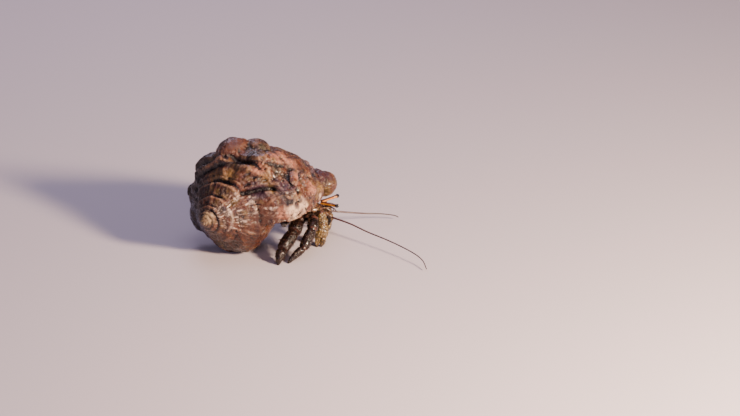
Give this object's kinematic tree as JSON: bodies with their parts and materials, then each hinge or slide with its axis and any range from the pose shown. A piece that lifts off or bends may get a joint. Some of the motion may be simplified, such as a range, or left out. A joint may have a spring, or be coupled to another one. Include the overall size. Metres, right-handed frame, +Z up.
{
  "type": "hermit crab",
  "caption": "Life-size still model of a striped hermit crab walking in a worn, knobbed rock shell, with stalked eyes and long feelers.",
  "frame": {"origin": "on the ground, under the middle of the bounding box", "axes": "+X the way the crab walks, +Y to the crab's left, +Z up"},
  "size_m": [0.086, 0.0644, 0.0416],
  "materials": {
    "shell": "wet worn shell, brown with cream and pink wear",
    "carapace": "wet mottled olive brown shell plate",
    "soft_skin": "damp soft skin",
    "eyestalk": "orange, with a dark line",
    "cornea": "glossy black eye",
    "feeler": "fine red-brown rings",
    "leg": "wet dark brown plate with thin pale stripes",
    "claw": "golden olive, granular and wet"
  },
  "bodies": {
    "root": {"shell": "shell", "carapace": "carapace", "thorax": "soft_skin", "abdomen": "soft_skin", "eyestalk_right": "eyestalk", "eye_right": "cornea", "antennule_right": "feeler", "antenna_base_right": "feeler", "antenna_right": "feeler", "maxilliped_right": "leg", "claw_right_merus": "claw", "claw_right_carpus": "claw", "claw_right_palm": "claw", "claw_right_finger": "claw", "leg_front_right_merus": "leg", "leg_front_right_carpus": "leg", "leg_front_right_propodus": "leg", "leg_front_right_dactyl": "leg", "leg_rear_right_merus": "leg", "leg_rear_right_carpus": "leg", "leg_rear_right_propodus": "leg", "leg_rear_right_dactyl": "leg", "leg_fourth_right": "soft_skin", "leg_fifth_right": "soft_skin", "eyestalk_left": "eyestalk", "eye_left": "cornea", "antennule_left": "feeler", "antenna_base_left": "feeler", "antenna_left": "feeler", "maxilliped_left": "leg", "claw_left_merus": "claw", "claw_left_carpus": "claw", "claw_left_palm": "claw", "claw_left_finger": "claw", "leg_front_left_merus": "leg", "leg_front_left_carpus": "leg", "leg_front_left_propodus": "leg", "leg_front_left_dactyl": "leg", "leg_rear_left_merus": "leg", "leg_rear_left_carpus": "leg", "leg_rear_left_propodus": "leg", "leg_rear_left_dactyl": "leg", "leg_fourth_left": "soft_skin", "leg_fifth_left": "soft_skin"}
  },
  "joints": []
}
